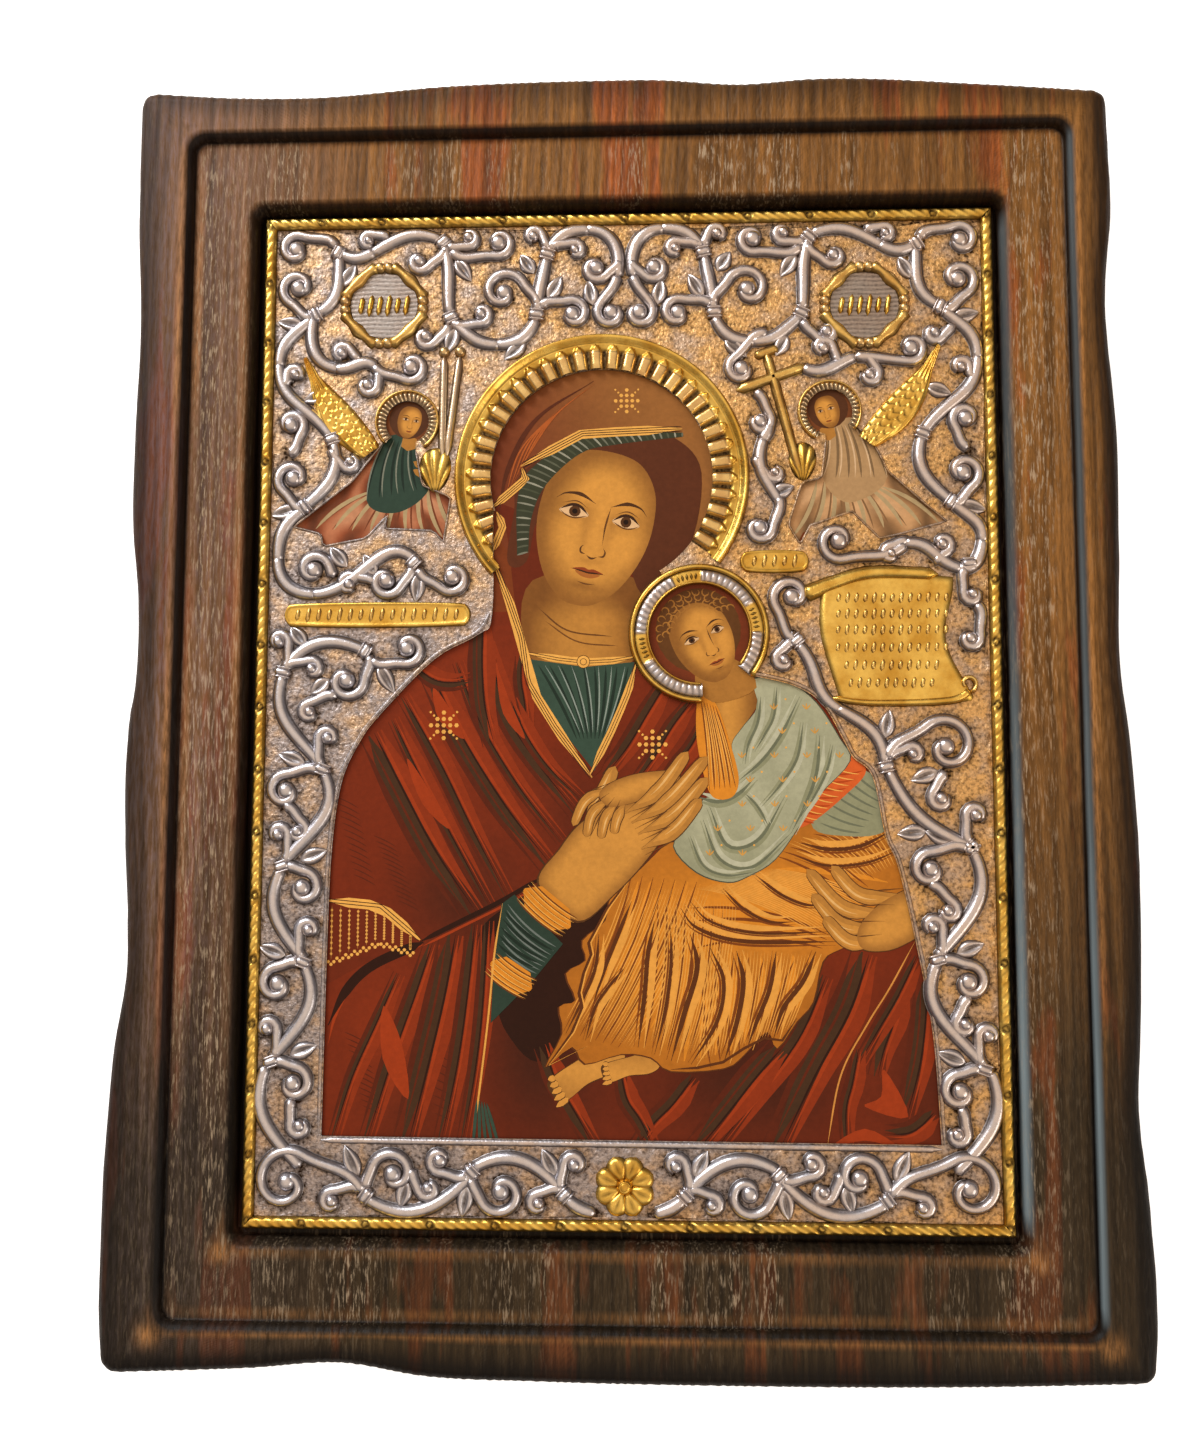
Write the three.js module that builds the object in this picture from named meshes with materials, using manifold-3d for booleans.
// Icon panel: a carved board, a painted panel in its recess, and an embossed metal cover over the painting.
// Millimetres, +Z up. The panel lies on its back: the back is z = 0 and the top of the picture is towards +Y.
import * as THREE from 'three';
import { mergeVertices } from 'three/addons/utils/BufferGeometryUtils.js';
import Module from 'manifold-3d';

const wasm = await Module();
wasm.setup();

// Board: overall size, roundings, and the levels of its rim, middle border and recess floor
const BOARD_WIDTH = 312.6;
const BOARD_HEIGHT = 401.6;
const RIM_TOP = 28;
const BORDER_TOP = 24;
const RECESS_FLOOR = 16;
const FRONT_ROUNDING = 4;
const BACK_ROUNDING = 2;

// How far each edge is planed in from the overall size, from corner to corner: [place along the edge, inset]
const LEFT_WAVE = [
  [-193, 1], [-180, 0], [-125, 0.9], [-100, 2.7], [-85, 5], [-65, 5], [-40, 3.4], [-8, 3.2], [10, 5.2], [28, 5.3],
  [55, 2.8], [128, 2.7], [155, 1.4], [193, 1.1],
];
const RIGHT_WAVE = [
  [-193, 0.8], [-183, 0], [-150, 1], [-115, 3.4], [-100, 2.3], [-10, 2.6], [10, 4.6], [45, 3.9], [80, 3.3],
  [130, 5.5], [152, 3.3], [188.5, 3.6],
];
const BOTTOM_WAVE = [
  [-149, 1.1], [-110, 2.9], [-82, 4.8], [-58, 1.4], [-25, 0.4], [25, 0], [110, 1], [149, 2.4],
];
const TOP_WAVE = [
  [-149, 1.6], [-125, 3.4], [-100, 3.9], [-55, 0.9], [-15, 0], [12, 0.2], [38, 2.2], [60, 0.9], [115, 3.8],
  [146.5, 6.4],
];

// The picture sits a little to the right of the board's middle
const PICTURE_X = 1.2;

// The two steps of the carving: half sizes at the foot, how far the wall leans out, corner radius
const BORDER_STEP = { halfWidth: 137.8, halfHeight: 183, lean: 2.5, corner: 4, x: PICTURE_X, y: -1 };
const RECESS_STEP = { halfWidth: 117.6, halfHeight: 160.2, lean: 2.6, corner: 3, x: PICTURE_X, y: -0.5 };

// Panel and cover
const SHEET_WIDTH = 232;
const SHEET_HEIGHT = 317;
const PANEL_THICK = 1.5;
const SHEET_THICK = 0.8;
const FIT_GAP = 0.3;
const PANEL_BOTTOM = RECESS_FLOOR + FIT_GAP;
const PANEL_TOP = PANEL_BOTTOM + PANEL_THICK;
const SHEET_BOTTOM = PANEL_TOP + FIT_GAP;
const SHEET_TOP = SHEET_BOTTOM + SHEET_THICK;

// Relief of the cover
const ROPE = { width: 3.8, height: 2.2 };
const TENDRIL = { width: 2.6, height: 1.3, rise: 0.05, tip: 0.62 };
const BALL = { radius: 2.2, height: 2.3, sides: 6, clear: 0.25 };
const COLLAR = { length: 2.8, width: 4.8, height: 2.1 };
const LEAF = { width: 3.2, height: 1.2 };
const TURNS = { least: 0.32, perReach: 0.12 };
const SPIRAL_STEP = { wide: 80, narrow: 95, from: 4.2 };
const STEM_STEP = 12;
const SWEEP_PULL = 0.38;
const HEIGHTS = {
  motherRim: 2, rays: 1.7, childBand: 0.4, childRim: 1.8, angelRim: 1.6, wing: 1.8, bundle: 1.6, roll: 2.2, foot: 2,
  petal: 1.7, boss: 2.2,
};

// Halos: centre, outer and inner radius, and the arc they cover in degrees
const MOTHER_HALO = {
  x: -7.5, y: 72.5, outer: 46.4, rim: 3.4, inner: 35, from: -36, to: 221, rays: 33, side: 34,
};
const CHILD_HALO = { x: 23, y: 22.8, outer: 21.8, rim: 1.8, inner: 15.7, from: -40, to: 273 };
const ANGEL_HALOS = [
  { x: -69.2, y: 91, outer: 10.3, rim: 2.4, inner: 6.9, from: -58, to: 226 },
  { x: 64.2, y: 93, outer: 10.1, rim: 2.2, inner: 7.2, from: -38, to: 244 },
];

// Edge of the large opening round the two figures: up the left side, then down the right side
const OPENING_LEFT = [
  [-92.2, -131], [-91.6, -75], [-90.7, -44], [-88, -23.4], [-82.6, -11], [-76, -2], [-59.5, 15], [-45.7, 22.8],
  [-41.6, 29], [-41.5, 62],
];
const OPENING_RIGHT = [
  [38.5, 9.7], [52.3, 6.2], [60.8, 0.5], [67, -10.3], [70, -16], [75.8, -21.8], [79.4, -40], [83, -48.8],
  [88, -71.8], [92.7, -100], [94.6, -132],
];

// Robes of the two small winged figures, as openings
const LEFT_ROBE = [
  [-76.5, 85], [-86.5, 72], [-105, 57.4], [-96, 55], [-95.5, 51], [-81.8, 53.5], [-75, 61], [-76, 56.6],
  [-60.3, 55.8], [-57.2, 52], [-55, 66.6], [-64.2, 70.5], [-68, 82],
];
const RIGHT_ROBE = [
  [72.7, 88], [77, 84.3], [82.3, 73.5], [92.3, 64.3], [100, 57.6], [84.6, 53.5], [79.2, 52.4], [70.8, 61],
  [57.7, 56.6], [54.6, 50.5], [51, 57], [55.4, 70.5], [61.5, 71.6], [65, 85.8],
];

// Scrolls. A curl is [root x, y, eye x, y, reach, bow]: it leaves its root, winds round its eye at the reach
// (positive winds to the left) and ends in a ball. A stem is [x, y, heading, x, y, heading], in degrees.
// A leaf is [x, y, heading, length] and a collar is [x, y, heading].
const BOTH_SIDES = {
  curls: [
    [-79, -147.5, -102.5, -144.6, 9.4, -10], [-79.5, -147, -88.6, -150.2, 3.2, -20],
    [-78.5, -146.5, -70.2, -142, -6.6, 0], [-47, -142, -55.8, -137.8, -3.6, 15],
    [-46.5, -142.5, -37.4, -146.8, 6.6, 0], [-19, -146, -15.2, -138.8, -3.3, 10],
    [-2.4, 138.5, -4.4, 126, 4.6, 20], [-1.6, 143.5, -9.2, 140.7, -4.1, 10],
    [-27, 127.5, -16.8, 125.6, -4.8, 25], [-28.5, 128, -38.6, 133, 6.8, -25],
    [-56.5, 123, -63.5, 118.8, -3.4, 15], [-56, 147.5, -40.6, 149.6, 4.5, -20],
    [-58.5, 148, -66, 143.8, -3.4, 30], [-93.5, 148.5, -105.8, 148.2, 5, -30],
    [-100.5, 126.6, -104.8, 135.4, -5.6, 45], [-107.5, 81, -106.4, 90.3, 4.3, -20],
    [-102, 64, -105.2, 73, -5.3, 45],
  ],
  stems: [
    [-77.5, -149.6, -30, -47, -142.6, 48], [-45.2, -139.8, 30, -19, -146.4, -48],
    [-17.2, -149, -40, -9.6, -152.8, -15], [-24, 147.6, 55, -12, 153.6, 0], [-12, 153.6, 0, -2.4, 138.5, -100],
    [-25.3, 143.5, -100, -28, 127.5, -95], [-28.6, 123.5, -115, -40.5, 116, 180],
    [-40.5, 116, 180, -55, 123.6, 140], [-56.2, 127.2, 95, -58, 148.4, 105], [-60, 151.3, 160, -81, 147, 210],
    [-81, 147, 210, -91, 146.6, 150], [-92, 145, -90, -98, 127.4, -150],
    [-100.6, 125, 220, -110.6, 110, -90], [-110.6, 110, -90, -94, 87, -55], [-92.6, 84, -75, -101, 64.4, -140],
    [-110, -111, -110, -99, -139.6, -45],
  ],
  leaves: [
    [-82.8, -138.4, 115, 8], [-66.8, -148, -105, 6.5], [-48.2, -149.8, -100, 7.5], [-22.8, -138.2, 118, 7],
    [-51.8, 140.6, -55, 7], [-31.4, 142.4, 125, 6], [-22.4, 134.4, 60, 7], [-11, 132.6, 100, 6.5],
    [-107.2, 123.6, 170, 7], [-88.5, 139.4, 60, 6.5], [-108, 62, 195, 7], [-35, 113.8, 220, 7],
    [-98.4, 99.4, 200, 6.5],
  ],
  collars: [
    [-78.3, -148.3, -35], [-46.2, -141.2, 45], [-18.2, -147.7, -45], [-24.9, 145.4, 75], [-28.3, 125.6, -95],
    [-55.7, 125, 115], [-58.4, 150, 130], [-92.2, 147, 150], [-99.2, 126.4, 205], [-93, 85.6, -70],
    [-101.5, 63.8, 215],
  ],
};
const LEFT_ONLY = {
  curls: [
    [-54.5, 123.6, -46, 126, 3.2, -20], [-80.5, 109.8, -68.2, 109, 4.7, -10],
    [-79, 107.6, -82, 103.2, -3.3, 0], [-91.8, 41, -98, 43.4, 5, 10],
    [-67, 44.6, -75, 40, -5, 10], [-79.2, 38.6, -86.8, 38.8, 3.2, -30],
    [-65, 44, -54.2, 41, 5, -15], [-107.2, 12, -108.6, 20.6, 3.2, -20],
    [-81, 16, -87, 8.4, -5.6, 30], [-79.4, 15.4, -68.2, 18.4, 5, -20],
  ],
  stems: [
    [-100, 125, -100, -92, 108.8, -10], [-92, 108.8, -10, -80, 109.6, -35], [-102.4, 62.6, 215, -109.6, 47, -90],
    [-109.6, 47, -90, -98, 35.8, 0], [-98, 35.8, 0, -66, 46.4, -45], [-106.4, 12.4, 55, -82, 18, -25],
    [-107.4, 9.4, -105, -94.6, -18, -50],
  ],
  leaves: [
    [-55.4, 117.4, -110, 7], [-90.4, 47.6, 130, 6.5], [-80.4, 45, 120, 6], [-65.2, 37.6, -95, 7.5],
    [-102.6, 22.4, 130, 6], [-95.4, 6.4, 220, 6], [-74.6, 8.8, -60, 8],
  ],
  collars: [[-66.4, 45.6, -45], [-107.2, 11, 80], [-81.2, 17.6, -30]],
};
const RIGHT_ONLY = {
  curls: [
    [57, 107, 88.4, 113.2, 4.6, -20], [45.4, 118.4, 36.8, 107, 4.4, -20],
    [40.6, 99.8, 42.4, 90, -3.8, 10], [47.6, 66, 42, 56, -4.2, 15],
    [101, 43.6, 66, 52.2, -5, -10], [108, 31.6, 106.4, 20.8, -3.2, 20],
    [53, 22, 51.8, 34, -6, 45], [80.4, -16.6, 98.2, -12.6, -8.6, 15],
    [98.6, -20.8, 96.6, -28.6, 3.4, -10],
  ],
  stems: [
    [43.4, 84, -110, 47.8, 65, -60], [54, 18.8, -50, 66, -1, -30], [66, -1, -30, 79.6, -17, -85],
    [81, -20.6, -65, 104, -42.6, -25],
  ],
  leaves: [
    [49.4, 67.8, 20, 6], [100.6, 52.4, 40, 6], [80.6, -5.6, 80, 7], [91.6, -21.6, 200, 7], [87.4, -39, 185, 7],
    [49.4, 114.4, 240, 6],
  ],
  collars: [[106.6, 44.2, 95], [53.2, 20.4, -50], [80, -18.8, -75], [105.4, -43.4, -45]],
};

// Running vines down the two sides: [collar x, y, side of the loop, loop's distance, hook's shift or null]
const LEFT_VINE = [
  [-94, -19.5, -1, 11.3, -3.8], [-106, -49.5, 1, 6.3, null], [-98.8, -78.8, -1, 7.7, null],
  [-108, -108.8, 1, 6.7, 2.5],
];
const RIGHT_VINE = [
  [105.4, -43.4, -1, 12.4, -4.8], [94.6, -77.2, 1, 8.9, -1.2], [107.7, -109.6, -1, 7.2, 1.3],
];
const VINE = {
  loopDrop: 6.6, loopReach: 5.3, hookRise: 9.8, hookOut: 1.5, hookReach: 3.2, tailDrop: 12.6,
  collarLean: 20, loopBow: 15, hookBow: 20, tailBow: 30, leafOut: 9.8, leafRise: 3.4, leafLean: 70, leafLength: 7,
};

// Gilt pieces of the relief: wings, staffs and the cross as bars [x, y, x, y, width]
const WINGS = [[-80.4, 81, -102.2, 111, 8], [75.6, 83, 98.5, 112.8, 7.4]];
const BARS = [
  [-57.6, 113, -57, 80, 1.8], [-52.5, 113, -57, 80, 1.8], [44.2, 113.5, 55, 72, 2.2], [35, 100, 57, 107.8, 2.2],
  [40.8, 111, 48.4, 113.6, 2.2],
];
const MEDALLIONS = [[-77.2, 129.3], [75.6, 127.4]];
const WING_WIDTHS = { root: 0.5, widestAt: 0.4, tip: 0.25 };
const MEDALLION_BAR = { near: 4.2, far: 13.4, width: 2.8 };
const BUNDLES = [[-60.4, 75, 5.4], [56, 77, 4.6]];
const PLATES = [[-77.7, 29, 59, 8.3], [46.5, 45.2, 21.5, 7.5]];
const PLATE_RISE = 1.2;
const PLATE_SLOPE = 0.6;
const SCROLL = { left: 61.5, right: 103, bottom: 1.5, top: 40, roll: 3.4, rise: 1.2 };
const ROSETTE = { x: 0, y: -145, radius: 9.3, petals: 8, boss: 2.6, middle: 0.58, length: 0.84, width: 0.62 };

const degrees = THREE.MathUtils.degToRad;

// Solid from its corners and the triangles that close it
function closed(corners, faces) {
  return new wasm.Manifold(new wasm.Mesh({
    numProp: 3, vertProperties: Float32Array.from(corners), triVerts: Uint32Array.from(faces),
  }));
}

// Closed loft through rings of equal point count, listed from below to above, each running to the left
function loft(rings) {
  const count = rings[0].length;
  const vertices = rings.flat().flatMap((corner) => [corner.x, corner.y, corner.z]);
  const faces = [];
  for (let level = 0; level + 1 < rings.length; level += 1) {
    for (let i = 0; i < count; i += 1) {
      const low = level * count + i;
      const lowNext = level * count + (i + 1) % count;
      faces.push(low, lowNext, lowNext + count, low, lowNext + count, low + count);
    }
  }
  const cap = THREE.ShapeUtils.triangulateShape(rings[0].map((c) => new THREE.Vector2(c.x, c.y)), []);
  const last = (rings.length - 1) * count;
  for (const [a, b, c] of cap) faces.push(a, c, b);
  const topRing = rings[rings.length - 1].map((c) => new THREE.Vector2(c.x, c.y));
  for (const [a, b, c] of THREE.ShapeUtils.triangulateShape(topRing, [])) faces.push(last + a, last + b, last + c);
  return closed(vertices, faces);
}

function ringAt(outline, z) {
  return outline.map(([x, y]) => new THREE.Vector3(x, y, z));
}

// Upright solid on an outline that may run either way round
function prism(outline, bottom, top) {
  const clockwise = THREE.ShapeUtils.isClockWise(outline.map(([x, y]) => new THREE.Vector2(x, y)));
  const leftward = clockwise ? [...outline].reverse() : outline;
  return loft([ringAt(leftward, bottom), ringAt(leftward, top)]);
}

function circle(x, y, radius, sides, from = 0, to = 360) {
  const whole = to - from >= 360;
  return Array.from({ length: whole ? sides : sides + 1 }, (_, i) => {
    const angle = degrees(from + (to - from) * i / sides);
    return [x + radius * Math.cos(angle), y + radius * Math.sin(angle)];
  });
}

function roundedRectangle(halfWidth, halfHeight, radius, x, y, sides = 3) {
  const corners = [[1, 1, 0], [-1, 1, 90], [-1, -1, 180], [1, -1, 270]];
  return corners.flatMap(([sx, sy, from]) => circle(
    x + sx * (halfWidth - radius), y + sy * (halfHeight - radius), radius, sides, from, from + 90,
  ));
}

// Outline of the board, running to the left from its lower right corner, drawn in by a margin
function boardOutline(margin) {
  const halfWidth = BOARD_WIDTH / 2;
  const halfHeight = BOARD_HEIGHT / 2;
  const right = RIGHT_WAVE.map(([y, inset]) => [halfWidth - inset - margin, y]);
  const top = TOP_WAVE.map(([x, inset]) => [x, halfHeight - inset - margin]).reverse();
  const left = LEFT_WAVE.map(([y, inset]) => [inset + margin - halfWidth, y]).reverse();
  const bottom = BOTTOM_WAVE.map(([x, inset]) => [x, inset + margin - halfHeight]);
  const sides = [right, top, left, bottom];
  return sides.flatMap((side, k) => {
    const [x0, y0] = side[side.length - 1];
    const [x1, y1] = sides[(k + 1) % 4][0];
    const sharp = k % 2 === 0 ? [x0, y1] : [x1, y0];
    const bend = new THREE.QuadraticBezierCurve(
      new THREE.Vector2(x0, y0), new THREE.Vector2(...sharp), new THREE.Vector2(x1, y1),
    );
    return [...side, ...[1 / 3, 2 / 3].map((t) => bend.getPoint(t).toArray())];
  });
}

function stepCutter(step, foot, above) {
  const ring = (lean, z) => ringAt(roundedRectangle(
    step.halfWidth + lean, step.halfHeight + lean, step.corner + lean, step.x, step.y,
  ), z);
  const rise = above - foot;
  return loft([
    ring(0, foot), ring(step.lean * 0.25, foot + rise * 0.6), ring(step.lean * 0.55, foot + rise * 0.86),
    ring(step.lean, above), ring(step.lean, above + RIM_TOP),
  ]);
}

function woodenBoard() {
  const blank = loft([
    ringAt(boardOutline(BACK_ROUNDING), 0), ringAt(boardOutline(0), BACK_ROUNDING * 1.5),
    ringAt(boardOutline(0), RIM_TOP - FRONT_ROUNDING * 1.5),
    ringAt(boardOutline(FRONT_ROUNDING * 0.3), RIM_TOP - FRONT_ROUNDING * 0.5),
    ringAt(boardOutline(FRONT_ROUNDING), RIM_TOP),
  ]);
  return blank
    .subtract(stepCutter(BORDER_STEP, BORDER_TOP, RIM_TOP))
    .subtract(stepCutter(RECESS_STEP, RECESS_FLOOR, BORDER_TOP));
}

// Roof-shaped ridge along a path of [x, y, width, height] stations, standing on the sheet
function ridge(path, height) {
  const vertices = [];
  const faces = [];
  path.forEach(([x, y, width, crestHeight = height], i) => {
    const [x0, y0] = path[Math.max(i - 1, 0)];
    const [x1, y1] = path[Math.min(i + 1, path.length - 1)];
    const length = Math.hypot(x1 - x0, y1 - y0);
    const half = [-(y1 - y0) / length * width / 2, (x1 - x0) / length * width / 2];
    vertices.push(x + half[0], y + half[1], SHEET_TOP, x - half[0], y - half[1], SHEET_TOP);
    vertices.push(x, y, SHEET_TOP + crestHeight);
    if (i > 0) {
      const [left, right, crest] = [3 * i, 3 * i + 1, 3 * i + 2];
      faces.push(left - 3, left, right, left - 3, right, right - 3);
      faces.push(right - 3, right, crest, right - 3, crest, crest - 3);
      faces.push(crest - 3, crest, left, crest - 3, left, left - 3);
    }
  });
  const last = 3 * (path.length - 1);
  faces.push(0, 1, 2, last, last + 2, last + 1);
  return closed(vertices, faces);
}

function bar(x0, y0, x1, y1, width, height = TENDRIL.height) {
  return ridge([[x0, y0, width], [x1, y1, width]], height);
}

// Pointed body over an outline that runs to the left, with its peak above a given point
function peak(outline, x, y, height) {
  const count = outline.length;
  const vertices = [...ringAt(outline, SHEET_TOP), new THREE.Vector3(x, y, SHEET_TOP + height)];
  const faces = outline.flatMap((_, i) => [i, (i + 1) % count, count]);
  for (let i = 1; i + 1 < count; i += 1) faces.push(0, i + 1, i);
  return closed(vertices.flatMap((corner) => corner.toArray()), faces);
}

function dome(x, y, radius, height) {
  return peak(circle(x, y, radius, BALL.sides), x, y, height);
}

// Leaf: a pointed lozenge that lies along its heading
function leaf(x, y, heading, length, width = LEAF.width, height = LEAF.height) {
  const [c, s] = [Math.cos(degrees(heading)) / 2, Math.sin(degrees(heading)) / 2];
  const tips = [[length, 0], [0, width], [-length, 0], [0, -width]];
  const outline = tips.map(([along, across]) => [x + c * along - s * across, y + s * along + c * across]);
  return peak(outline, x, y, height);
}

// Collar: a short roof across the stems that it binds
function collar(x, y, heading) {
  const [c, s] = [Math.cos(degrees(heading)), Math.sin(degrees(heading))];
  const [acrossX, acrossY] = [s * COLLAR.width / 2, -c * COLLAR.width / 2];
  return bar(x + acrossX, y + acrossY, x - acrossX, y - acrossY, COLLAR.length, COLLAR.height);
}

// Smooth path between two points that leaves and arrives on given headings
function sweep(x0, y0, heading0, x1, y1, heading1, fewest = 2) {
  const chord = Math.hypot(x1 - x0, y1 - y0);
  const pull = chord * SWEEP_PULL;
  const curve = new THREE.CubicBezierCurve(
    new THREE.Vector2(x0, y0),
    new THREE.Vector2(x0 + pull * Math.cos(degrees(heading0)), y0 + pull * Math.sin(degrees(heading0))),
    new THREE.Vector2(x1 - pull * Math.cos(degrees(heading1)), y1 - pull * Math.sin(degrees(heading1))),
    new THREE.Vector2(x1, y1),
  );
  return curve.getPoints(Math.max(fewest, Math.round(chord / STEM_STEP))).map((p) => [p.x, p.y]);
}

// Curl: a bowed run from the root to the circle round the eye, then a spiral in to the ball
function curl(rootX, rootY, eyeX, eyeY, reach, bow) {
  const hand = Math.sign(reach);
  const away = Math.hypot(rootX - eyeX, rootY - eyeY);
  const radius = Math.min(Math.abs(reach), away * 0.9);
  const entry = Math.atan2(rootY - eyeY, rootX - eyeX) + hand * Math.acos(radius / away);
  const [touchX, touchY] = [eyeX + radius * Math.cos(entry), eyeY + radius * Math.sin(entry)];
  const leaving = THREE.MathUtils.radToDeg(Math.atan2(touchY - rootY, touchX - rootX)) + bow;
  const run = sweep(rootX, rootY, leaving, touchX, touchY, THREE.MathUtils.radToDeg(entry) + hand * 90, 1);
  const turn = 360 * (TURNS.least + TURNS.perReach * radius);
  const ball = Math.min(BALL.radius, radius - TENDRIL.width / 2 - BALL.clear);
  const inmost = ball + TENDRIL.width * TENDRIL.tip / 2 + BALL.clear;
  const steps = Math.ceil(turn / (radius > SPIRAL_STEP.from ? SPIRAL_STEP.wide : SPIRAL_STEP.narrow));
  const spiral = Array.from({ length: steps }, (_, i) => {
    const part = (i + 1) / steps;
    const angle = entry + hand * degrees(turn * part);
    const r = radius + (inmost - radius) * part;
    return [eyeX + r * Math.cos(angle), eyeY + r * Math.sin(angle)];
  });
  const path = [...run, ...spiral];
  const stations = path.map(([x, y], i) => {
    const share = 1 - (1 - TENDRIL.tip) * i / (path.length - 1);
    return [x, y, TENDRIL.width * share];
  });
  return [ridge(stations, TENDRIL.height + TENDRIL.rise * radius), dome(eyeX, eyeY, ball, BALL.height)];
}

function stem(...ends) {
  return ridge(sweep(...ends).map(([x, y]) => [x, y, TENDRIL.width]), TENDRIL.height);
}

// Scrolls of one list; mirrored ones change sides about the middle of the cover
function scrolls({ curls, stems, leaves, collars }, side) {
  const turned = (heading) => (side > 0 ? heading : 180 - heading);
  return [
    ...curls.flatMap(([x, y, eyeX, eyeY, reach, bow]) => (
      curl(side * x, y, side * eyeX, eyeY, side * reach, side * bow))),
    ...stems.map(([x0, y0, h0, x1, y1, h1]) => stem(side * x0, y0, turned(h0), side * x1, y1, turned(h1))),
    ...leaves.map(([x, y, heading, length]) => leaf(side * x, y, turned(heading), length)),
    ...collars.map(([x, y, heading]) => collar(side * x, y, turned(heading))),
  ];
}

// Running vine: at each collar a loop on one side, a hook above, a leaf, and a stem on to the next collar
function vine(collars) {
  return collars.flatMap(([x, y, side, loop, tail], i) => {
    const [eyeX, eyeY] = [x + side * loop, y - VINE.loopDrop];
    const pieces = [
      collar(x, y, -90 + side * VINE.collarLean),
      ...curl(x + side, y - 0.5, eyeX, eyeY, -side * VINE.loopReach, side * VINE.loopBow),
      ...curl(x, y + 1.5, x - side * VINE.hookOut, y + VINE.hookRise, side * VINE.hookReach, -side * VINE.hookBow),
      leaf(x + side * VINE.leafOut, y + VINE.leafRise, 90 - side * VINE.leafLean, VINE.leafLength),
    ];
    if (tail !== null) {
      pieces.push(...curl(eyeX + side, eyeY - VINE.loopReach, eyeX + side * tail, eyeY - VINE.tailDrop,
        side * VINE.hookReach, -side * VINE.tailBow));
    }
    if (i + 1 < collars.length) {
      const [nextX, nextY] = collars[i + 1];
      pieces.push(stem(x - side * 0.6, y - 1.5, -90 - side * 25, nextX, nextY + 1, -90 + side * 40));
    }
    return pieces;
  });
}

// Ring of a halo as a low band, from its inner edge to its outer edge
function haloBand(halo, rise, steps) {
  const outer = circle(halo.x, halo.y, halo.outer - halo.rim / 2, steps, halo.from, halo.to);
  const inner = circle(halo.x, halo.y, halo.inner, steps, halo.from, halo.to).reverse();
  return prism([...outer, ...inner], SHEET_BOTTOM, SHEET_TOP + rise);
}

function haloRim(halo, height, steps) {
  const path = circle(halo.x, halo.y, halo.outer - halo.rim / 2, steps, halo.from, halo.to);
  return ridge(path.map(([x, y]) => [x, y, halo.rim]), height);
}

// Rays of a halo: at the lower left they end at the opening's straight side edge, and the shortest is left out
function haloRays(halo, height) {
  const pitch = (halo.to - halo.from) / halo.rays;
  const tip = halo.outer - halo.rim;
  return Array.from({ length: halo.rays }, (_, i) => {
    const angle = halo.from + (i + 0.5) * pitch;
    const [c, s] = [Math.cos(degrees(angle)), Math.sin(degrees(angle))];
    const inner = c < 0 && s < 0 ? Math.max(halo.inner, halo.side / -c) : halo.inner;
    const middle = (inner + tip) / 2;
    const length = tip - inner - 0.6;
    const width = middle * degrees(pitch) * 0.84;
    return length > 1 && leaf(halo.x + c * middle, halo.y + s * middle, angle, length, width, height);
  }).filter(Boolean);
}

// Wing: a ridge that swells and then narrows to its tip
function wing(x0, y0, x1, y1, width) {
  const part = WING_WIDTHS.widestAt;
  const widest = [x0 + (x1 - x0) * part, y0 + (y1 - y0) * part, width];
  return ridge([[x0, y0, width * WING_WIDTHS.root], widest, [x1, y1, width * WING_WIDTHS.tip]], HEIGHTS.wing);
}

// Four bars round the middle of a medallion, set as the sides of a lozenge
function medallion(x, y) {
  const { near, far, width } = MEDALLION_BAR;
  return [[1, 1], [-1, 1], [-1, -1], [1, -1]].map(([sx, sy]) => (
    bar(x + sx * near, y + sy * far, x + sx * far, y + sy * near, width)));
}

function plate(x, y, width, height) {
  const ring = (margin, z) => ringAt(roundedRectangle(
    width / 2 - margin, height / 2 - margin, height / 2 - margin - 0.1, x, y, 3), z);
  return loft([ring(0, SHEET_TOP), ring(PLATE_SLOPE, SHEET_TOP + PLATE_RISE)]);
}

function scrollSheet() {
  const { left, right, bottom, top, roll, rise } = SCROLL;
  const body = prism([[left + 2, bottom], [right + 2, bottom + 1], [right, top - 1], [left, top - 3]],
    SHEET_TOP, SHEET_TOP + rise);
  const rolled = ridge([[left - 5, top - 3.4, roll], [left + 15, top + 1.6, roll], [right - 7, top, roll]],
    HEIGHTS.roll);
  const foot = bar(left + 2, bottom, right + 4, bottom + 3, roll, HEIGHTS.foot);
  return [body, rolled, foot];
}

function rosette() {
  const { x, y, radius, petals, boss } = ROSETTE;
  const middle = radius * ROSETTE.middle;
  const list = Array.from({ length: petals }, (_, i) => {
    const angle = 360 * (i + 0.5) / petals;
    const [c, s] = [Math.cos(degrees(angle)), Math.sin(degrees(angle))];
    const [length, width] = [radius * ROSETTE.length, radius * ROSETTE.width];
    return leaf(x + c * middle, y + s * middle, angle, length, width, HEIGHTS.petal);
  });
  return [...list, dome(x, y, boss, HEIGHTS.boss)];
}

// Outline of the cover and the panel, running to the left, drawn in by a margin
function sheetOutline(margin) {
  const [x, y] = [SHEET_WIDTH / 2 - margin, SHEET_HEIGHT / 2 - margin];
  return [[x, -y], [x, y], [-x, y], [-x, -y]];
}

function ropeEdge() {
  const ring = (margin, z) => ringAt(sheetOutline(margin), z);
  const outside = loft([ring(0, SHEET_BOTTOM), ring(0, SHEET_TOP), ring(ROPE.width / 2, SHEET_TOP + ROPE.height)]);
  const inside = loft([
    ring(ROPE.width, SHEET_BOTTOM - 1), ring(ROPE.width, SHEET_TOP),
    ring(ROPE.width / 2 + 0.2, SHEET_TOP + ROPE.height + 0.01)]);
  return outside.subtract(inside);
}

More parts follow.
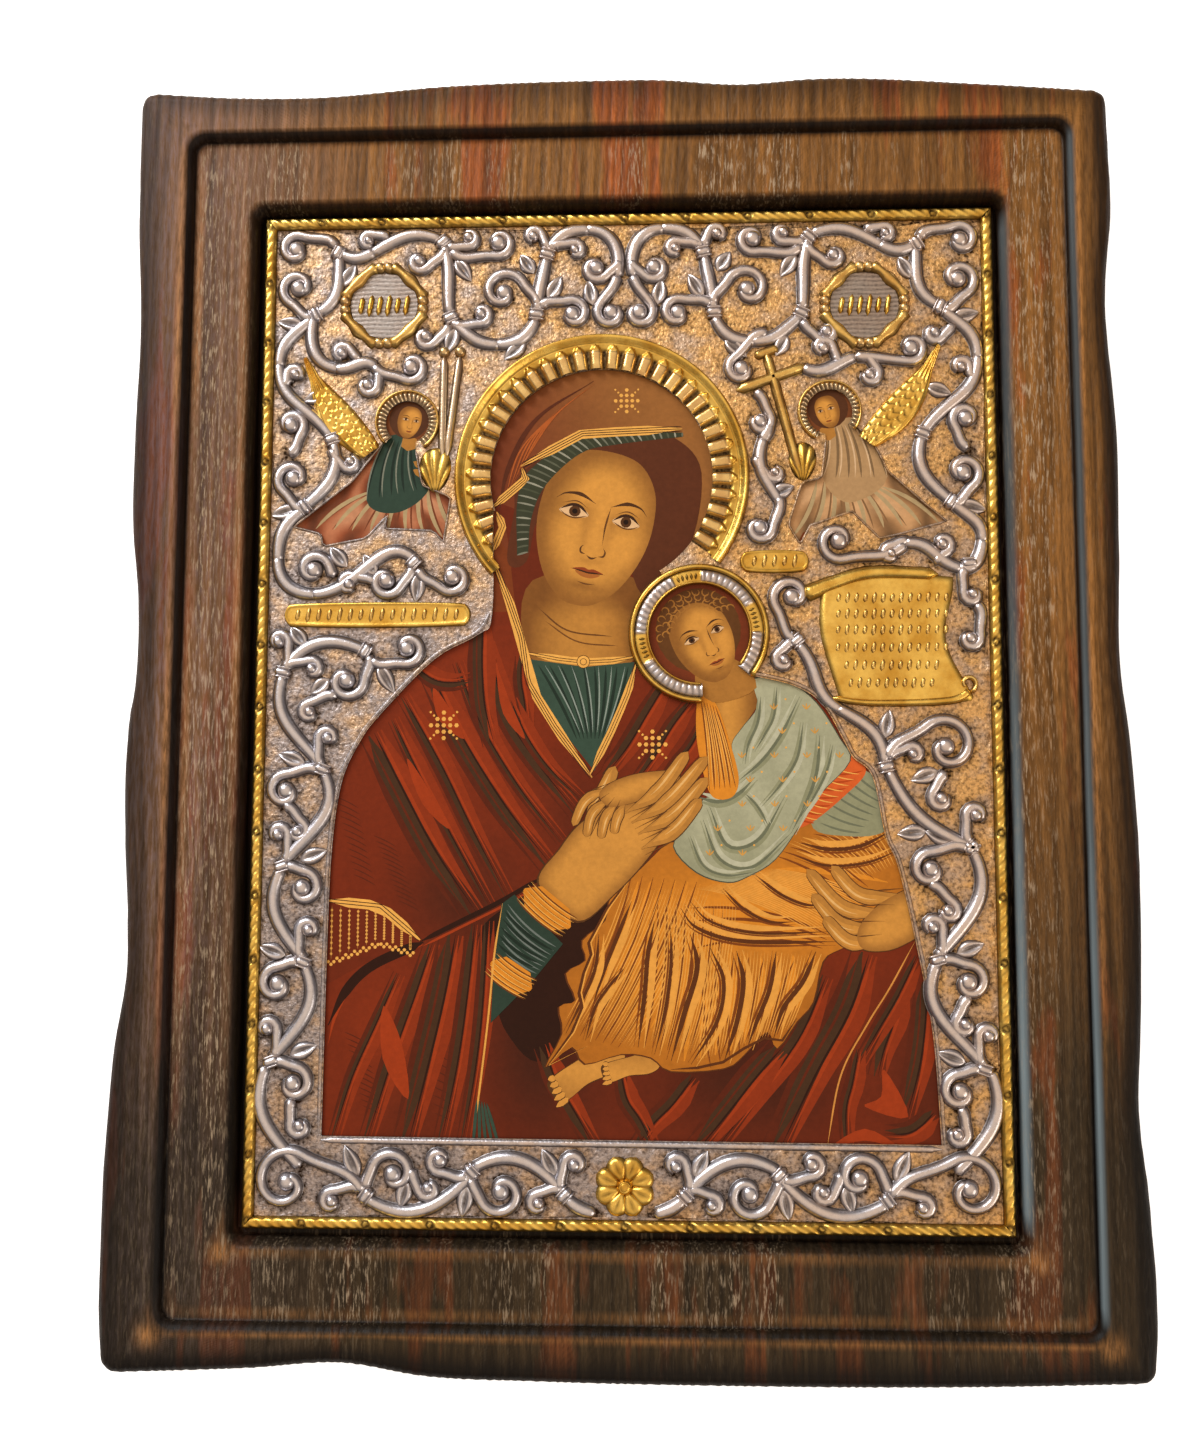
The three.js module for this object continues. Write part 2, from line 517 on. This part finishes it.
function metalCover() {
  const [through, over] = [SHEET_BOTTOM - 1, SHEET_TOP + 1];
  const cut = (outline) => prism(outline, through, over);
  const figures = [
    ...OPENING_LEFT, [MOTHER_HALO.x, MOTHER_HALO.y], [CHILD_HALO.x, CHILD_HALO.y], ...OPENING_RIGHT,
  ];
  const openings = [
    cut(figures), cut(circle(MOTHER_HALO.x, MOTHER_HALO.y, MOTHER_HALO.inner, 28)),
    cut(circle(CHILD_HALO.x, CHILD_HALO.y, CHILD_HALO.inner, 20)),
    cut(LEFT_ROBE), cut(RIGHT_ROBE),
    ...ANGEL_HALOS.map((halo) => cut(circle(halo.x, halo.y, halo.inner, 12))),
  ];
  const blank = prism(sheetOutline(ROPE.width / 4), SHEET_BOTTOM, SHEET_TOP);
  const sheet = openings.reduce((left, opening) => left.subtract(opening), blank);
  const relief = [
    ropeEdge(), haloBand(CHILD_HALO, HEIGHTS.childBand, 12), haloRim(CHILD_HALO, HEIGHTS.childRim, 12),
    haloRim(MOTHER_HALO, HEIGHTS.motherRim, 18), ...haloRays(MOTHER_HALO, HEIGHTS.rays),
    ...ANGEL_HALOS.map((halo) => haloRim(halo, HEIGHTS.angelRim, 8)),
    ...scrolls(BOTH_SIDES, 1), ...scrolls(BOTH_SIDES, -1), ...scrolls(LEFT_ONLY, 1), ...scrolls(RIGHT_ONLY, 1),
    ...vine(LEFT_VINE), ...vine(RIGHT_VINE),
    ...WINGS.map((ends) => wing(...ends)),
    ...BARS.map((ends) => bar(...ends)), ...MEDALLIONS.flatMap(([x, y]) => medallion(x, y)),
    ...BUNDLES.map(([x, y, radius]) => dome(x, y, radius, HEIGHTS.bundle)), ...PLATES.map((size) => plate(...size)),
    ...scrollSheet(), ...rosette(),
  ];
  return relief.reduce((cover, piece) => cover.add(piece), sheet);
}

function paintedPanel() {
  return prism(sheetOutline(0), PANEL_BOTTOM, PANEL_TOP);
}

function mesh(name, body, material) {
  const { vertProperties, triVerts } = body.getMesh();
  const geometry = new THREE.BufferGeometry();
  geometry.setAttribute('position', new THREE.BufferAttribute(vertProperties, 3));
  geometry.setIndex(new THREE.BufferAttribute(triVerts, 1));
  const part = new THREE.Mesh(mergeVertices(geometry, 1e-6), material);
  part.name = name;
  return part;
}

const stainedWood = new THREE.MeshStandardMaterial({ color: 0x4a2f1c, roughness: 0.55, metalness: 0 });
const paint = new THREE.MeshStandardMaterial({ color: 0x6e2a14, roughness: 0.5, metalness: 0 });
const silver = new THREE.MeshStandardMaterial({ color: 0xc9bdb2, roughness: 0.32, metalness: 1 });

const iconPanel = new THREE.Group();
iconPanel.add(
  mesh('wooden_board', woodenBoard(), stainedWood),
  mesh('painted_panel', paintedPanel().translate([PICTURE_X, 0, 0]), paint),
  mesh('metal_cover', metalCover().translate([PICTURE_X, 0, 0]), silver),
);

export default iconPanel;
